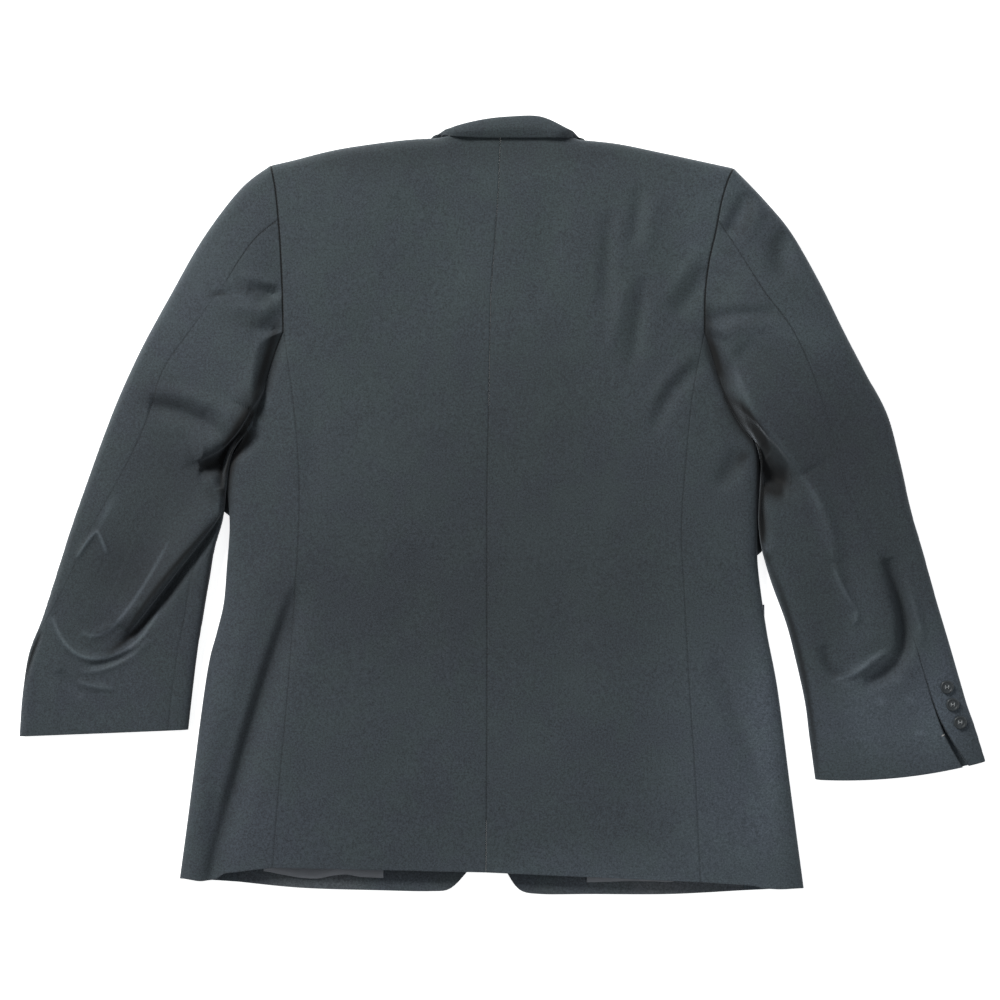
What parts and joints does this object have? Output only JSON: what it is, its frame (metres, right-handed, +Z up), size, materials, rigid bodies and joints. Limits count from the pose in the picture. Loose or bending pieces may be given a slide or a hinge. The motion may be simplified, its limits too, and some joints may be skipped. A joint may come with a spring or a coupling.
{
  "type": "sport coat",
  "caption": "Sport coat lying flat and face down: seamed back up, sleeves spread with soft folds, turned collar, lapels, pocket flaps and front and cuff buttons.",
  "frame": {"origin": "centre of the coat's outline, on the surface that it lies on", "axes": "+X towards the wearer's right sleeve, +Y towards the collar, +Z up, out of the coat's back"},
  "size_m": [1.0055, 0.8101, 0.0319],
  "materials": {
    "cloth": "fine charcoal wool twill with a slight sheen",
    "lining": "grey satin lining",
    "button": "dark grey four-hole buttons, semi-gloss"
  },
  "bodies": {
    "root": {"back_left": "cloth", "back_right": "cloth", "side_left": "cloth", "side_right": "cloth", "front_left": "cloth", "front_right": "cloth", "top_sleeve_left": "cloth", "top_sleeve_right": "cloth", "under_sleeve_left": "cloth", "under_sleeve_right": "cloth", "collar": "cloth", "lapel_left": "cloth", "lapel_right": "cloth", "flap_left": "cloth", "flap_right": "cloth", "lining_left": "lining", "lining_right": "lining", "front_button_1": "button", "front_button_2": "button", "cuff_button_left_1": "button", "cuff_button_left_2": "button", "cuff_button_left_3": "button", "cuff_button_right_1": "button", "cuff_button_right_2": "button", "cuff_button_right_3": "button"}
  },
  "joints": []
}
